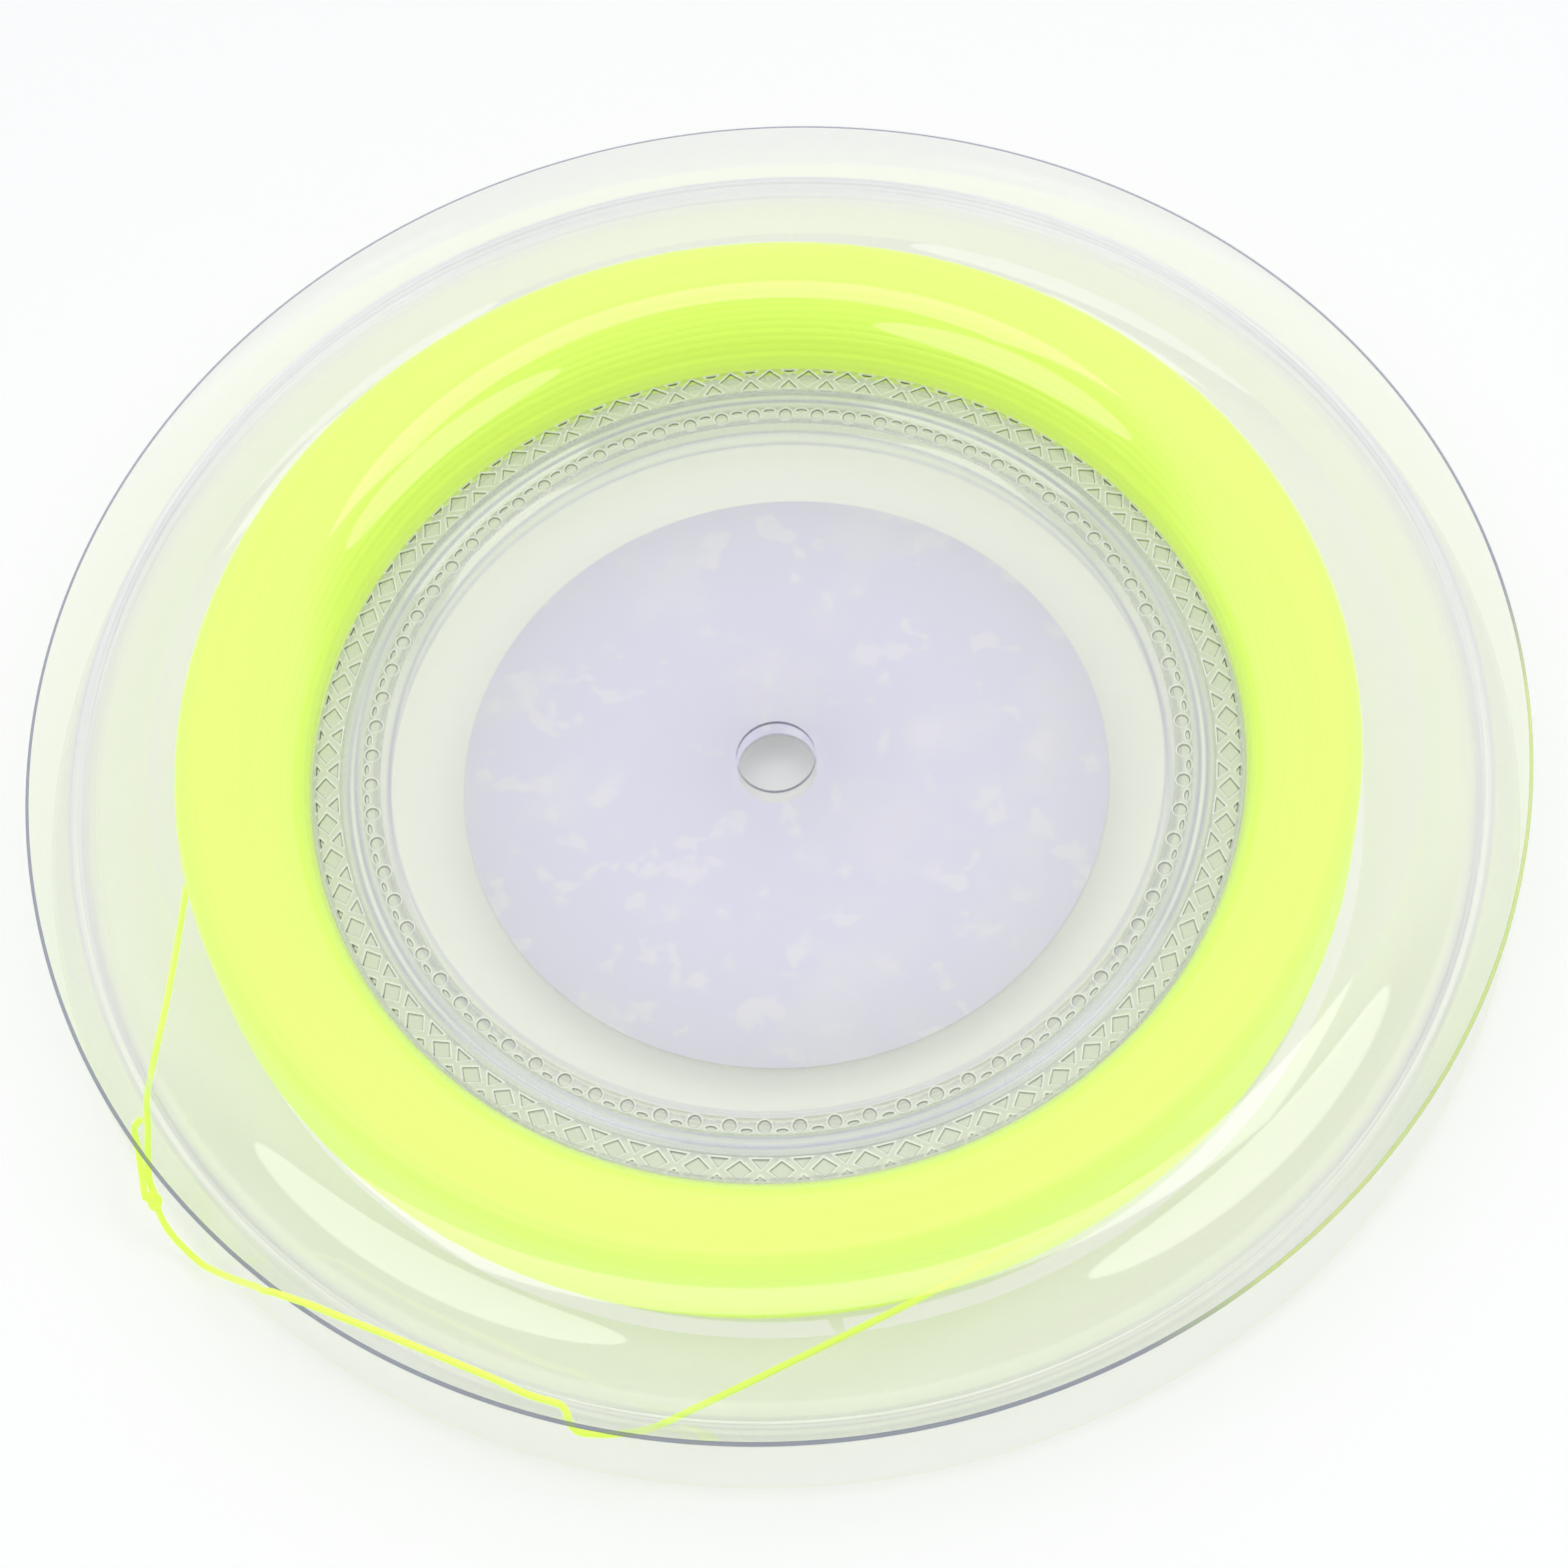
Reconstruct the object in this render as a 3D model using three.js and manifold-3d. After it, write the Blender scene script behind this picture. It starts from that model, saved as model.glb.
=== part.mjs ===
// Reel of racket string: two formed clear sheets welded back to back around a wound pack of
// string, a loose label disc between the centre discs, and the string's free end laced
// through the front lip. Millimetres, +Z up; the reel lies on its back half and the origin
// is the middle of the ring that it rests on.
import * as THREE from 'three';
import { mergeVertices } from 'three/addons/utils/BufferGeometryUtils.js';
import Module from 'manifold-3d';

const wasm = await Module();
wasm.setup();

// Sheet and overall form. Heights are measured from the weld plane, where the halves meet.
const sheet = 0.8; // wall of the formed sheet
const rimRadius = 140; // cut edge of both lips
const rimHeight = 11.5; // cut edge above the weld plane
const crestHeight = 14; // outer face of the string channel

// Centre discs and the pocket between them.
const spindleRadius = 7.5; // hole for the spindle
const discRadius = 73.5;
const frontDiscDrop = 1.4; // front disc below its weld rings
const backTrayDepth = 5.75; // inside of the back disc below the weld plane

// Rings across the seam, from the disc outwards.
const discStep = 1.6; // slope from the disc up to the inner weld
const innerWeldWidth = 3.2;
const beadWidth = 4.1; // smooth bead between the welds
const beadTop = 1.6; // flat on top of the bead
const beadHeight = 1;
const outerWeldWidth = 5.2;
const channelWidth = 44.2; // foot of the channel to the slit
const crestLand = 3; // flat on top of the channel
const slitWidth = 2; // land beside the slit
const slitGap = 2.8; // opening between the halves that the string runs out of

// Pattern pressed into the front half by the welding tool.
const diamondCount = 70;
const diamondAcross = 4.7; // along the ring
const diamondDepth = 3.9; // across the ring
const beadletCount = 76;
const beadletDiameter = 2.7;
const pressDepth = 0.35; // sink of the pattern into the sheet

// Label disc.
const labelRadius = 61.3;
const labelThickness = 0.5;
const labelShift = new THREE.Vector2(1.4, -1.4); // its outline lies off its own hole

// Wound string.
const stringDiameter = 1.25;
const packDepth = 24.4; // windings, from the channel's foot outwards
const packCorner = 1.6; // rounding of the outer layers
const clearance = 0.3; // between the windings and the channel
const knotRadius = 1.7;

// Lacing holes in the front lip.
const lacingHoleRadius = 1.6;
const lacingHoleInset = 4; // from the cut edge, along the lip
const lacingHoleAngles = [207.9, 249.3]; // degrees from +X

// Fineness of the flats that stand for round surfaces.
const facets = 48; // around the reel
const risingSteps = 5; // from the channel's foot to its crest
const fallingSteps = 4; // from the crest to the slit
const cornerSteps = 2;
const holeSides = 8;
const stringSides = 8;
const stringStep = 2.2; // length of one straight piece of the free string

// Distances that follow from the sizes above.
const weldPlane = crestHeight; // height of the seam when the reel lies on its back
const innerWeldStart = discRadius + discStep;
const beadStart = innerWeldStart + innerWeldWidth;
const outerWeldStart = beadStart + beadWidth;
const channelStart = outerWeldStart + outerWeldWidth;
const packRadius = channelStart + packDepth;
const slitStart = channelStart + channelWidth;
const slitEnd = slitStart + slitWidth;
const crestRadius = channelStart + channelWidth / 2;

function toSolid(geometry) {
  geometry.deleteAttribute('normal');
  geometry.deleteAttribute('uv');
  const merged = mergeVertices(geometry, 1e-4);
  return new wasm.Manifold(new wasm.Mesh({
    numProp: 3,
    vertProperties: new Float32Array(merged.attributes.position.array),
    triVerts: new Uint32Array(merged.index.array),
  }));
}

function toGeometry(solid) {
  const mesh = solid.getMesh();
  const geometry = new THREE.BufferGeometry();
  geometry.setAttribute('position', new THREE.BufferAttribute(mesh.vertProperties, 3));
  geometry.setIndex(new THREE.BufferAttribute(mesh.triVerts, 1));
  geometry.computeVertexNormals();
  return geometry;
}

// Turns a closed profile of radius and height about the reel's axis.
function revolve(profile) {
  const outline = THREE.ShapeUtils.isClockWise(profile) ? [...profile].reverse() : profile;
  const geometry = new THREE.LatheGeometry([...outline, outline[0]], facets);
  geometry.rotateX(Math.PI / 2);
  return geometry;
}

// Moves a profile line sideways by a distance, to the left of its travel, with mitred corners.
function offsetLine(points, distance) {
  const last = points.length - 1;
  const normals = points.slice(1).map((point, i) => {
    const along = point.clone().sub(points[i]).normalize();
    return new THREE.Vector2(-along.y, along.x);
  });
  return points.map((point, i) => {
    const before = normals[Math.max(i - 1, 0)];
    const after = normals[Math.min(i, last - 1)];
    const mitre = before.clone().add(after).divideScalar(1 + before.dot(after));
    return point.clone().addScaledVector(mitre, distance);
  });
}

// Quarter of an ellipse between two heights, from one radius to another.
function quarterArc(fromRadius, fromHeight, toRadius, toHeight, steps, risesFirst) {
  return Array.from({ length: steps + 1 }, (unused, i) => {
    const angle = (i / steps) * Math.PI / 2;
    const acrossShare = risesFirst ? 1 - Math.cos(angle) : Math.sin(angle);
    const upShare = risesFirst ? Math.sin(angle) : 1 - Math.cos(angle);
    return new THREE.Vector2(
      THREE.MathUtils.lerp(fromRadius, toRadius, acrossShare),
      THREE.MathUtils.lerp(fromHeight, toHeight, upShare),
    );
  });
}

// The string channel: up from its foot, over a flat crest and down to the slit.
function channelMiddle() {
  const foot = sheet / 2;
  const top = crestHeight - sheet / 2;
  const slit = (slitGap + sheet) / 2;
  const inner = crestRadius - crestLand / 2;
  const outer = crestRadius + crestLand / 2;
  return [
    ...quarterArc(channelStart, foot, inner, top, risingSteps, true),
    ...quarterArc(outer, top, slitStart, slit, fallingSteps, false),
  ];
}

// The flared lip, from the slit to the cut edge, whose outermost corners give the rim sizes.
function lipEnd(slitCorner) {
  const along = new THREE.Vector2(rimRadius, rimHeight).sub(slitCorner).normalize();
  const frontNormal = new THREE.Vector2(-along.y, along.x);
  return {
    along,
    frontNormal,
    middle: new THREE.Vector2(
      rimRadius + frontNormal.x * sheet / 2,
      rimHeight - frontNormal.y * sheet / 2,
    ),
  };
}

// Middle of one half's sheet, from the spindle hole to the cut edge. The halves differ in the
// disc's height, and in how much wider its edge is than the front's.
function sheetMiddle(discHeight, widening) {
  const weld = sheet / 2;
  const slit = (slitGap + sheet) / 2;
  const slitCorner = new THREE.Vector2(slitEnd, slit);
  const beadSlope = (beadWidth - beadTop) / 2;
  return [
    new THREE.Vector2(spindleRadius, discHeight),
    new THREE.Vector2(discRadius + widening, discHeight),
    new THREE.Vector2(innerWeldStart + widening, weld),
    new THREE.Vector2(beadStart, weld),
    new THREE.Vector2(beadStart + beadSlope, weld + beadHeight),
    new THREE.Vector2(outerWeldStart - beadSlope, weld + beadHeight),
    new THREE.Vector2(outerWeldStart, weld),
    ...channelMiddle(),
    slitCorner,
    lipEnd(slitCorner).middle,
  ];
}

function sheetSolid(discHeight, widening) {
  const middle = sheetMiddle(discHeight, widening);
  const outside = offsetLine(middle, sheet / 2);
  const inside = offsetLine(middle, -sheet / 2);
  return toSolid(revolve([...inside, ...outside.reverse()]));
}

// A short prism that stands on a point of the ring, for pressing or cutting.
function ringTool(sides, across, depth, height, radius, angle, level) {
  const tool = new THREE.CylinderGeometry(0.5, 0.5, height, sides);
  tool.rotateX(Math.PI / 2);
  tool.scale(across, depth, 1);
  tool.rotateZ(angle - Math.PI / 2);
  tool.translate(radius * Math.cos(angle), radius * Math.sin(angle), level);
  return toSolid(tool);
}

// Ring of pressed shapes, sunk into the upper face of the front half's weld.
function pressedRing(count, sides, across, depth, radius) {
  const tools = Array.from({ length: count }, (unused, i) => {
    const angle = ((i + 0.5) / count) * Math.PI * 2;
    return ringTool(sides, across, depth, 2 * pressDepth, radius, angle, sheet);
  });
  return wasm.Manifold.compose(tools);
}

// Round cutter across the lip, square to its sheet.
function lacingHole(degrees) {
  const lip = lipEnd(new THREE.Vector2(slitEnd, (slitGap + sheet) / 2));
  const centre = lip.middle.clone().addScaledVector(lip.along, -lacingHoleInset);
  const angle = THREE.MathUtils.degToRad(degrees);
  const outward = new THREE.Vector3(Math.cos(angle), Math.sin(angle), 0);
  const direction = outward.clone().multiplyScalar(lip.frontNormal.x);
  direction.z = lip.frontNormal.y;
  const length = 4 * sheet;
  const cutter = new THREE.CylinderGeometry(lacingHoleRadius, lacingHoleRadius, length, holeSides);
  cutter.applyQuaternion(
    new THREE.Quaternion().setFromUnitVectors(new THREE.Vector3(0, 1, 0), direction),
  );
  const place = outward.multiplyScalar(centre.x);
  cutter.translate(place.x, place.y, centre.y);
  return toSolid(cutter);
}

function frontShell() {
  const diamonds = pressedRing(diamondCount, 4, diamondAcross, diamondDepth,
    outerWeldStart + outerWeldWidth / 2);
  const beadlets = pressedRing(beadletCount, 6, beadletDiameter, beadletDiameter,
    innerWeldStart + innerWeldWidth / 2);
  let shell = sheetSolid(sheet / 2 - frontDiscDrop, 0);
  shell = shell.subtract(diamonds);
  shell = shell.subtract(beadlets);
  for (const degrees of lacingHoleAngles) {
    shell = shell.subtract(lacingHole(degrees));
  }
  return toGeometry(shell);
}

// The back half is the same channel turned over. Its disc is a deeper tray for the label, one
// sheet wider than the front disc, whose sloped edge drops into it.
function backShell() {
  const shell = sheetSolid(backTrayDepth + sheet / 2, sheet).mirror([0, 0, 1]);
  return toGeometry(shell);
}

// Card disc that lies in the back tray; its outline is cut a little off its hole.
function labelDisc() {
  const outline = new THREE.Shape();
  outline.absarc(labelShift.x, labelShift.y, labelRadius, 0, Math.PI * 2);
  const hole = new THREE.Path();
  hole.absarc(0, 0, spindleRadius, 0, Math.PI * 2, true);
  outline.holes.push(hole);
  return new THREE.ExtrudeGeometry(outline, {
    depth: labelThickness,
    bevelEnabled: false,
    curveSegments: facets / 2,
  });
}

// Height of a line at a radius, read between its points.
function heightAt(line, radius) {
  const next = line.findIndex((point) => point.x > radius);
  const before = line[next - 1];
  const share = (radius - before.x) / (line[next].x - before.x);
  return THREE.MathUtils.lerp(before.y, line[next].y, share);
}

// The windings fill the inner part of the channel against both walls, and end in a
// straight outer face with rounded corners.
function stringPack() {
  const wall = offsetLine(channelMiddle(), -(sheet / 2 + clearance));
  const cornerStart = packRadius - packCorner;
  const top = heightAt(wall, cornerStart);
  const nose = new THREE.Vector2(wall[0].x, 0);
  const half = [
    ...wall.slice(1).filter((point) => point.x < cornerStart),
    ...quarterArc(cornerStart, top, packRadius, top - packCorner, cornerSteps, false),
  ];
  const lower = half.map((point) => new THREE.Vector2(point.x, -point.y));
  return revolve([nose, ...lower, ...half.reverse()]);
}

// Round string along points given in the reel's own frame.
function stringTube(points) {
  const section = new THREE.Shape();
  section.absarc(0, 0, stringDiameter / 2, 0, Math.PI * 2);
  const path = new THREE.CatmullRomCurve3(points.map((point) => new THREE.Vector3(...point)));
  return new THREE.ExtrudeGeometry(section, {
    steps: Math.ceil(path.getLength() / stringStep),
    extrudePath: path,
    curveSegments: stringSides / 2,
  });
}

// Left run: out of the windings, through the slit and behind the front lip to the knot.
const leadPoints = [
  [-112.3, -12.9, 14],
  [-114.3, -24, 14],
  [-117.1, -38.1, 14],
  [-119.2, -47, 14],
  [-120.8, -54.8, 14],
  [-120.9, -58.4, 14.4],
  [-120.7, -61.6, 14.9],
  [-120.7, -64.3, 15.2],
  [-120.8, -67, 15.2],
  [-120.9, -69.2, 14.8],
  [-120.9, -71.2, 14],
  [-120.7, -72.8, 12.8],
];

// Second leg beside it: from the knot up to the left lacing hole and through the lip.
const loopPoints = [
  [-121.7, -75, 13.7],
  [-121.8, -73.3, 14.6],
  [-121.8, -71.4, 15.8],
  [-121.8, -69.5, 17.3],
  [-121.8, -67.7, 18.9],
  [-122, -65.8, 20.4],
  [-121.9, -64.6, 21.3],
  [-121.3, -64.2, 22.2],
  [-120.4, -63.7, 22.8],
];

// Right run: from the knot round the back rim, over the front rim, through the right
// lacing hole and the slit, and back under the windings.
const returnPoints = [
  [-120.2, -75.9, 10.1],
  [-119.6, -77.7, 8],
  [-118.4, -79.6, 5.8],
  [-116.3, -82, 4],
  [-113.8, -84.6, 3.2],
  [-111.4, -86.9, 5],
  [-107.9, -90.6, 10],
  [-104.2, -94.5, 16],
  [-101.1, -97.9, 21.6],
  [-99.3, -100.2, 25],
  [-97.7, -101.2, 26.6],
  [-95.3, -102.5, 26.9],
  [-91.2, -104.5, 26.8],
  [-84.4, -108.2, 26.5],
  [-76.1, -112.7, 26.2],
  [-66.1, -118.2, 25.5],
  [-60.3, -121.2, 24.2],
  [-55.7, -123.8, 23.2],
  [-52.3, -125.4, 23],
  [-50.3, -126.2, 22.9],
  [-49.2, -127, 22.7],
  [-48.7, -128.2, 22.1],
  [-48.5, -129.2, 21.6],
  [-48, -130.3, 21.1],
  [-46.9, -131.1, 20.6],
  [-44.2, -131.4, 19.5],
  [-41.7, -131.1, 17.7],
  [-39.3, -130.6, 16.1],
  [-36.9, -130.1, 14.9],
  [-34.4, -129.5, 14.3],
  [-28.2, -127.2, 14],
  [-19.2, -124, 14],
  [-8.3, -120, 14],
  [2.7, -115.9, 14],
  [11.4, -112.6, 14],
];

const knotPoint = [-120.6, -74.5, 11.5];

const clearSheet = new THREE.MeshStandardMaterial({
  color: '#e2e8de',
  roughness: 0.08,
  metalness: 0,
  transparent: true,
  opacity: 0.3,
});

function materialOf(color, roughness) {
  return new THREE.MeshStandardMaterial({ color, roughness, metalness: 0 });
}

function addPiece(group, name, geometry, material, height) {
  const mesh = new THREE.Mesh(geometry, material);
  mesh.name = name;
  mesh.position.z = height;
  group.add(mesh);
}

const reel = new THREE.Group();
addPiece(reel, 'front_shell', frontShell(), clearSheet, weldPlane);
addPiece(reel, 'back_shell', backShell(), clearSheet, weldPlane);
addPiece(reel, 'label_disc', labelDisc(), materialOf('#dadae9', 0.5),
  weldPlane - backTrayDepth);

const string = materialOf('#e6ff66', 0.35);
addPiece(reel, 'string_pack', stringPack(), string, weldPlane);
addPiece(reel, 'string_lead', stringTube(leadPoints), string, 0);
addPiece(reel, 'string_loop', stringTube(loopPoints), string, 0);
addPiece(reel, 'string_return', stringTube(returnPoints), string, 0);

const knot = new THREE.IcosahedronGeometry(knotRadius, 1);
knot.translate(...knotPoint);
addPiece(reel, 'string_knot', knot, string, 0);

export default reel;
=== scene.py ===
import math

import bmesh
import bpy
import numpy as np
from mathutils import Matrix, Vector
from mathutils.geometry import delaunay_2d_cdt


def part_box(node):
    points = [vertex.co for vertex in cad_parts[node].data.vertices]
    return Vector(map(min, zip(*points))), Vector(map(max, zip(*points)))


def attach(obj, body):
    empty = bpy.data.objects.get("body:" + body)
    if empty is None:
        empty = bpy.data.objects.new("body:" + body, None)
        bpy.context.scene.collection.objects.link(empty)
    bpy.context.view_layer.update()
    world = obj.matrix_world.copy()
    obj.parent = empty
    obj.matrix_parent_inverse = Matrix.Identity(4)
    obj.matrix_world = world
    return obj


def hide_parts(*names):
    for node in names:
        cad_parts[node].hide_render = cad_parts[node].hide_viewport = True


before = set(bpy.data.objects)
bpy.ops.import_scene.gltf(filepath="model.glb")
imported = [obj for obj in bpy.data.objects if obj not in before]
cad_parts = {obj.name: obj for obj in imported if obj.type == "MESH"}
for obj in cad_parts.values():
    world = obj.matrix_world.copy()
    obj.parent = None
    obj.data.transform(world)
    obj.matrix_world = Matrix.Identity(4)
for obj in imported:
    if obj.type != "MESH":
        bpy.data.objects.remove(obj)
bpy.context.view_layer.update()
mm = 0.001
scene = bpy.context.scene

# the camera stands in front of the reel and looks down on it
camera = {
    "place": (0.9, -359.9, 655.2),  # mm, from the middle of the reel's foot
    "elevation": 61.14,  # degrees above the floor
    "roll": 6.82,
    "lens": 89.48,
}


def makeCamera(values):
    data = bpy.data.cameras.new("camera")
    data.lens = values["lens"]
    obj = bpy.data.objects.new("camera", data)
    scene.collection.objects.link(obj)
    tilt = Matrix.Rotation(math.radians(90 - values["elevation"]), 4, "X")
    roll = Matrix.Rotation(math.radians(-values["roll"]), 4, "Z")
    obj.matrix_world = Matrix.Translation(Vector(values["place"]) * mm) @ tilt @ roll
    scene.camera = obj


makeCamera(camera)
print("camera placed")


# small helpers for nodes and meshes

def linear(hexColour):
    channels = [int(hexColour[i:i + 2], 16) / 255 for i in (1, 3, 5)]
    return [c / 12.92 if c <= 0.04045 else ((c + 0.055) / 1.055) ** 2.4 for c in channels] + [1]


plainWhite = linear("#ffffff")


def addNode(tree, kind, sockets=None, **settings):
    node = tree.nodes.new(kind)
    for name, value in settings.items():
        setattr(node, name, value)
    for key, value in (sockets or {}).items():
        if isinstance(value, bpy.types.NodeSocket):
            tree.links.new(value, node.inputs[key])
        else:
            node.inputs[key].default_value = value
    return node


def newMaterial(name):
    material = bpy.data.materials.new(name)
    material.use_nodes = True
    material.node_tree.nodes.clear()
    return material, material.node_tree


def meshFrom(name, points, faces, material, sharpAngle=35):
    mesh = bpy.data.meshes.new(name)
    mesh.from_pydata([tuple(p) for p in points], [], faces)
    mesh.polygons.foreach_set("use_smooth", [True] * len(mesh.polygons))
    mesh.set_sharp_from_angle(angle=math.radians(sharpAngle))
    mesh.materials.append(material)
    obj = bpy.data.objects.new(name, mesh)
    scene.collection.objects.link(obj)
    return obj


def settled(obj, name):
    # the evaluated result as a plain mesh, in place of the object that carries the modifiers
    graph = bpy.context.evaluated_depsgraph_get()
    mesh = bpy.data.meshes.new_from_object(obj.evaluated_get(graph))
    obj.modifiers.clear()
    result = bpy.data.objects.new(name, mesh)
    scene.collection.objects.link(result)
    bpy.data.objects.remove(obj)
    return result


def setInputs(modifier, values):
    for item in modifier.node_group.interface.items_tree:
        if item.item_type == "SOCKET" and item.in_out == "INPUT" and item.name in values:
            modifier[item.identifier] = values[item.name]


def newGroup(name, inputs):
    # a group of geometry nodes, with a geometry in and out and further inputs by their kind
    tree = bpy.data.node_groups.new(name, "GeometryNodeTree")
    for way in ("INPUT", "OUTPUT"):
        tree.interface.new_socket("Geometry", in_out=way, socket_type="NodeSocketGeometry")
    for kind, names in inputs.items():
        for socket in names:
            tree.interface.new_socket(socket, in_out="INPUT", socket_type="NodeSocket" + kind)
    return tree


def calculate(tree, operation, *given):
    return addNode(tree, "ShaderNodeMath", dict(enumerate(given)), operation=operation).outputs[0]


def vectorMath(tree, operation, *given):
    node = addNode(tree, "ShaderNodeVectorMath", dict(enumerate(given)), operation=operation)
    return node.outputs["Value" if operation in ("LENGTH", "DOT_PRODUCT") else "Vector"]


def scaled(tree, vector, factor):
    return addNode(tree, "ShaderNodeVectorMath", {0: vector, "Scale": factor},
                   operation="SCALE").outputs[0]


def ramp(tree, value, start, end, shape="LINEAR"):
    # 0 up to the start and 1 from the end on
    return addNode(tree, "ShaderNodeMapRange", {
        "Value": value, "From Min": start, "From Max": end,
    }, interpolation_type=shape).outputs[0]


def mixNumber(tree, share, first, second):
    return addNode(tree, "ShaderNodeMix", {0: share, 2: first, 3: second},
                   data_type="FLOAT").outputs[0]


def mixColour(tree, share, first, second):
    return addNode(tree, "ShaderNodeMix", {0: share, 6: first, 7: second},
                   data_type="RGBA").outputs[2]


def mixSurface(tree, share, first, second):
    return addNode(tree, "ShaderNodeMixShader", {0: share, 1: first, 2: second}).outputs[0]


def placeOnReel(tree):
    # the place, the same without its height, and the distance from the axis
    place = addNode(tree, "ShaderNodeTexCoord").outputs["Object"]
    flat = vectorMath(tree, "MULTIPLY", place, (1, 1, 0))
    return place, flat, vectorMath(tree, "LENGTH", flat)


def heightOf(tree, vector):
    return addNode(tree, "ShaderNodeSeparateXYZ", {0: vector}).outputs[2]


def facingShare(tree):
    # 0 where the surface faces the eye, 1 where it is seen edge-on, the same on both faces
    return addNode(tree, "ShaderNodeLayerWeight", {"Blend": 0.5}).outputs["Facing"]


schlickPower = 5.0


def schlick(tree, facing, atNormal):
    # how much a face mirrors, which grows from what it mirrors when seen straight
    power = calculate(tree, "POWER", facing, schlickPower)
    return calculate(tree, "MULTIPLY_ADD", power, 1 - atNormal, atNormal)


clearPvc = {
    "throughFace": "#fefefd",  # what one face lets through when seen straight
    "throughEdge": "#e6e4f2",  # and when seen edge-on, where PVC turns lavender
    "edgePower": 4.0,
    "bendShade": "#eeeef6",  # painted shade: a thin grey-lavender line on tight bends, standing in for the light that a bend turns aside
    "mirrorAtNormal": 0.043,
    "roughness": 0.035,
    "haze": 0.012,  # share of the light that the sheet scatters
    "hazeColour": "#f4f7f0",
}


def makeClearPvc(values):
    # rigid PVC sheet, vacuum formed: glossy on both faces, nearly colourless, lavender edge-on
    material, tree = newMaterial("formedClearPvc")
    facing = facingShare(tree)
    edge = calculate(tree, "POWER", facing, values["edgePower"])
    tint = mixColour(tree, edge, linear(values["throughFace"]), linear(values["throughEdge"]))
    # painted shade along tight bends, by the share that each point carries
    bendShade = addNode(tree, "ShaderNodeAttribute", attribute_name="bendShade").outputs["Fac"]
    tint = mixColour(tree, bendShade, tint, linear(values["bendShade"]))
    clear = addNode(tree, "ShaderNodeBsdfTransparent", {"Color": tint})
    gloss = addNode(tree, "ShaderNodeBsdfAnisotropic", {
        "Color": plainWhite, "Roughness": values["roughness"],
    })
    haze = addNode(tree, "ShaderNodeBsdfDiffuse", {"Color": linear(values["hazeColour"])})
    body = mixSurface(tree, values["haze"], clear.outputs[0], haze.outputs[0])
    mirror = schlick(tree, facing, values["mirrorAtNormal"])
    surface = mixSurface(tree, mirror, body, gloss.outputs[0])
    addNode(tree, "ShaderNodeOutputMaterial", {"Surface": surface})
    return material


weldedPvc = {
    "colour": "#f6f7f3", "roughness": 0.02, "ior": 1.53,
    "wall": "#9fa39a",  # painted shade on the steep sides of a mark: a dark line that stands in for the light they turn away
    "outerWallShade": "#4d5238", "outerWallShadeFrom": 86.75,  # mm; next to the windings the painted shade is olive, standing in for the windings seen through the sides
    "shoulder": 0.8,  # share of painted white highlight on the rounded edges of the marks, where the lamps would be mirrored
    "wallShadeSlope": (0.25, 0.35, 0.62, 0.74),  # height of the normal where the painted wall shade comes and goes
    "shoulderHighlightSlope": (0.74, 0.8, 0.95, 0.985),
}


def slopeMask(tree, stops):
    # 1 between the second and third stop of the normal's height, 0 outside the first and last
    normal = addNode(tree, "ShaderNodeNewGeometry").outputs["True Normal"]
    height = calculate(tree, "ABSOLUTE", heightOf(tree, normal))
    comes = ramp(tree, height, stops[0], stops[1])
    goes = ramp(tree, height, stops[3], stops[2])
    return calculate(tree, "MULTIPLY", comes, goes)


def makeWeldedPvc(values):
    # the two sheets melted into one at the welds: thick enough to bend what is seen through it; the
    # marks also carry painted shade on their sides and a painted highlight on their edges
    material, tree = newMaterial("weldedClearPvc")
    _, _, radius = placeOnReel(tree)
    # painted shade: the steep sides of the marks get a dark tint, olive next to the windings
    outside = calculate(tree, "GREATER_THAN", radius, values["outerWallShadeFrom"] * mm)
    wall = mixColour(tree, outside, linear(values["wall"]), linear(values["outerWallShade"]))
    tint = mixColour(tree, slopeMask(tree, values["wallShadeSlope"]), linear(values["colour"]), wall)
    glass = addNode(tree, "ShaderNodeBsdfGlass", {
        "Color": tint, "Roughness": values["roughness"], "IOR": values["ior"],
    })
    # painted highlight: plain white on the rounded shoulders of the marks
    paintedHighlight = addNode(tree, "ShaderNodeBsdfDiffuse", {"Color": plainWhite})
    share = calculate(tree, "MULTIPLY", slopeMask(tree, values["shoulderHighlightSlope"]),
                      values["shoulder"])
    body = mixSurface(tree, share, glass.outputs[0], paintedHighlight.outputs[0])
    clear = addNode(tree, "ShaderNodeBsdfTransparent", {"Color": linear(values["colour"])})
    path = addNode(tree, "ShaderNodeLightPath").outputs
    lampRay = calculate(tree, "MAXIMUM", path["Is Shadow Ray"], path["Is Diffuse Ray"])
    surface = mixSurface(tree, lampRay, body, clear.outputs[0])
    addNode(tree, "ShaderNodeOutputMaterial", {"Surface": surface})
    return material


cutPvc = {
    "border": "#868a9c",  # painted shade: dark lines at the two corners of the cut, where light is trapped
    "grey": "#a9adbd", "pipedLight": "#e0f0a4",  # the cut face itself; the yellow-green is painted light, the string's colour piped along the cut
    "borderFrom": 0.24,  # mm from the middle of the cut
    "pipedLightSide": (0.85, -0.53, 0),  # where on the rim the painted piped light shows
    "pipedLightFrom": 112.0, "pipedLightTo": 126.0,  # mm towards that side
    "pipedLightBorder": 0.4,  # how much of the painted dark border is left there
    "glossShare": 0.4,  # the rest of the cut is seen through
    "roughness": 0.3,
}


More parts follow.
